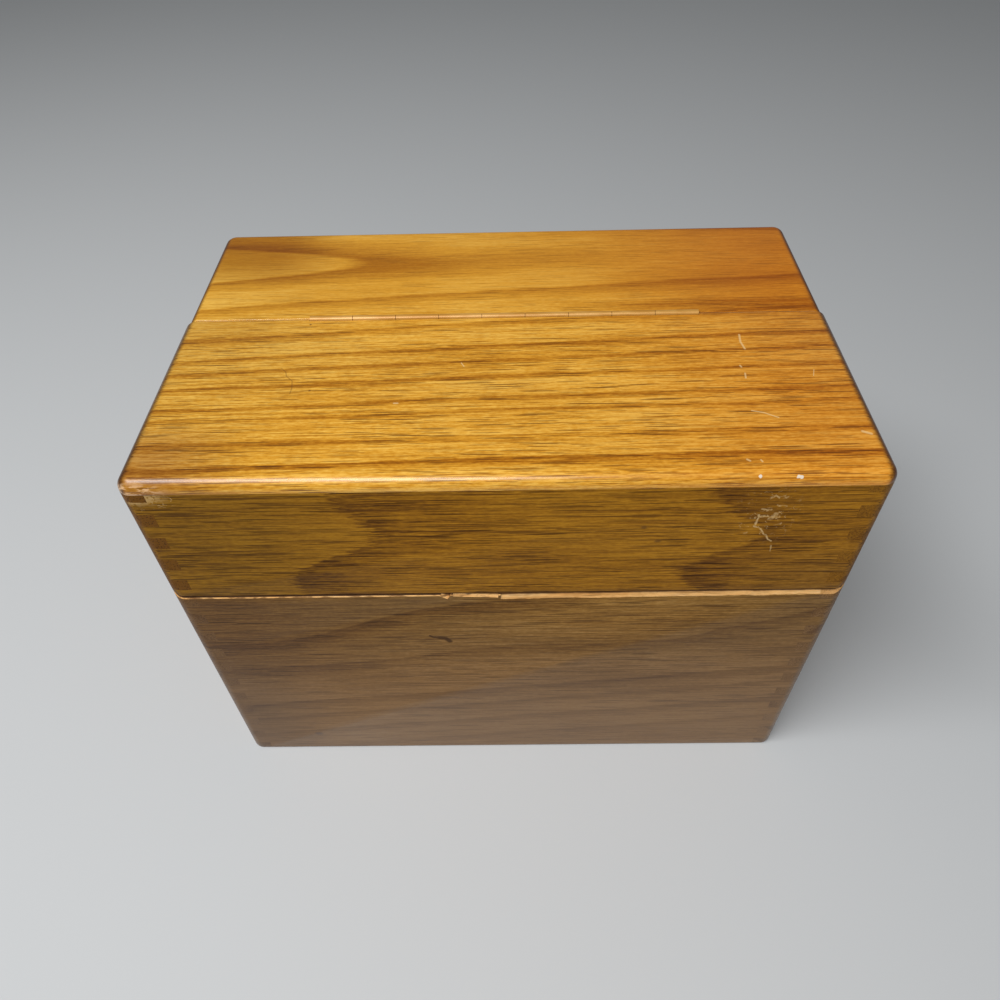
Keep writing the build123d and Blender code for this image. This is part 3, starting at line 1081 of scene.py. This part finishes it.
def top_board(name, low_y, high_y, inset_front, inset_back, trim):
    lip = block(name, (-half_width - spare, low_y, board_top), (half_width + spare, high_y, height + spare))
    inner = half_width - stock - plug_play
    middle = block("middle", (-inner, low_y + inset_front, height - stock),
                   (inner, high_y - inset_back, height))
    combine(lip, middle, "UNION")
    combine(lip, trim, "INTERSECT", keep_tool=True)
    split_y = high_y if inset_back == 0 else low_y

    def at_split(a, b):
        return all(same(p.y, split_y) and p.z > board_top + mm for p in (a, b))

    bevel_where(lip, at_split, split_bevel, 3)
    return lip


# %% [markdown]
# ## Letting the hinge in
# A flush hinge sits in a shallow mortise, as deep as its leaf and with a hair of play, and its
# barrel turns in a half round groove. Leaf and barrel come from the CAD model, so the cuts
# take their sizes from those two pieces.

# %% A mortise and its groove
leaf_play = 0.1 * mm
knuckle_room = 0.52 * mm


def hinge_mortise(board_piece, leaf, facing):
    """Sinks a leaf and half of the barrel into the sawn edge of a top board."""
    groove_radius = (pin_high.z - axis_z) + knuckle_room
    low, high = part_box(leaf)
    y = sorted((low.y - leaf_play if facing < 0 else high.y + leaf_play, axis_y))
    combine(board_piece, block("mortise", (low.x - leaf_play, y[0], low.z - leaf_play),
                               (high.x + leaf_play, y[1], height + spare)), "DIFFERENCE")
    bpy.ops.object.select_all(action="DESELECT")
    bpy.ops.mesh.primitive_cylinder_add(
        vertices=32, radius=groove_radius, depth=high.x - low.x + 2 * leaf_play,
        location=((low.x + high.x) / 2, axis_y, axis_z), rotation=(0, math.pi / 2, 0))
    groove = bpy.context.object
    bpy.ops.object.transform_apply(location=True, rotation=True, scale=True)
    combine(board_piece, groove, "DIFFERENCE")


# %% The lid's top and the fixed strip
lid_board = top_board("lid_top_wood", front_y - spare, lid_high.y, spare + stock, 0, outside)
strip_board = top_board("rear_top_wood", strip_low.y, back_y + spare, 0, spare + stock, strip_outside)
for board_piece, body, node, leaf, facing in (
    (lid_board, "lid", "lid_top", "hinge_leaf_lid", -1),
    (strip_board, "base", "rear_top", "hinge_leaf_base", 1),
):
    hinge_mortise(board_piece, leaf, facing)
    dress(board_piece, "top", body, node)

for tool in (outside, strip_outside, lid_outside, base_outside):
    bpy.data.objects.remove(tool)


# %% [markdown]
# ## Brass, plywood and steel
# The hinge, the bottom panel, the screws and the brads keep their CAD shapes and only get a
# finish. The barrel's top is the one part of the hinge that shows on a closed box, and it has
# dulled to a warm tan, so the brass loses its metal shine with height.

# %% Brass
def brass():
    s = Drawing("brass")
    x, y, z = (place / mm for place in s.three("Object"))
    tarnish = s.noise(s.vector(x * 0.07, y * 0.3, z * 0.3), 4.0, 0.65)
    grubby = s.smooth(z, 123.0, 123.3)
    barrel = s.blend(s.smooth(tarnish, 0.38, 0.60), (0.66, 0.355, 0.085), (0.54, 0.25, 0.036))
    leaf = s.blend(s.smooth(tarnish, 0.38, 0.60), (0.92, 0.61, 0.22), (0.76, 0.45, 0.14))
    return s.done(Base_Color=s.blend(grubby, leaf, barrel), Metallic=0.85 - 0.65 * grubby,
                  Roughness=0.36 + 0.2 * tarnish, Coat_Weight=0.25 * grubby, Coat_Roughness=0.3)


# %% Plywood and steel
def plywood():
    s = Drawing("plywood")
    x, y, z = (place / mm for place in s.three("Object"))
    figure = s.noise(s.vector(x * 0.02, y * 0.35, z), 4.0, 0.6)
    colour = s.blend(figure, (0.62, 0.43, 0.24), (0.45, 0.28, 0.13))
    return s.done(Base_Color=colour, Roughness=0.7 + 0.1 * figure)


def steel():
    s = Drawing("steel")
    x, y, z = (place / mm for place in s.three("Object"))
    spots = s.noise(s.vector(x * 2, y * 2, z * 2), 3.0)
    colour = s.blend(spots, (0.42, 0.41, 0.39), (0.25, 0.20, 0.15))
    return s.done(Base_Color=colour, Metallic=1.0, Roughness=0.4)


# %% Finishing the CAD pieces by their slots
finishes = {"brass": brass(), "plywood": plywood(), "steel": steel()}
for row in frame["record"]["subparts"]:
    if row["material_slot"] in finishes:
        node = frame["nodes"][row["node"]]
        node.data.materials.clear()
        node.data.materials.append(finishes[row["material_slot"]])
        print(row["node"], "is", row["material_slot"])

# %% [markdown]
# ## Floor and light
# One wide, soft lamp above the front gives the highlight along the top's front edge, and a dim
# world fills the rest. More lamps would show more, but they would wash the lacquer out. The
# view transform is Standard, so that a colour renders about as it is written.

# %% A pale floor
bpy.ops.object.select_all(action="DESELECT")
bpy.ops.mesh.primitive_plane_add(size=6, location=(0, 0, 0))
floor = bpy.context.object
floor.name = "floor"
sheet = Sheet("floor")
floor.data.materials.append(sheet.done(Base_Color=(0.60, 0.615, 0.625), Roughness=0.8))
print("floor size", tuple(round(length, 2) for length in floor.dimensions))

# %% A softbox and a dim world
softbox = bpy.data.lights.new("ceiling softbox", "AREA")
softbox.shape = "RECTANGLE"
softbox.size, softbox.size_y = 0.76, 0.24
softbox.energy = 7.8
hung = bpy.data.objects.new("ceiling softbox", softbox)
bpy.context.scene.collection.objects.link(hung)
hung.location = (-0.27, -0.33, 0.80)
aim = Vector((0, 0, height / 2)) - hung.location
hung.rotation_euler = aim.to_track_quat("-Z", "Y").to_euler()

world = bpy.data.worlds.new("studio")
bpy.context.scene.world = world
world.use_nodes = True
sky = world.node_tree.nodes["Background"].inputs
sky["Color"].default_value = (0.95, 0.98, 1.0, 1)
sky["Strength"].default_value = 0.12
bpy.context.scene.view_settings.view_transform = "Standard"
print("softbox", round(softbox.energy, 1), "W at", round(aim.length, 2), "m from the box")
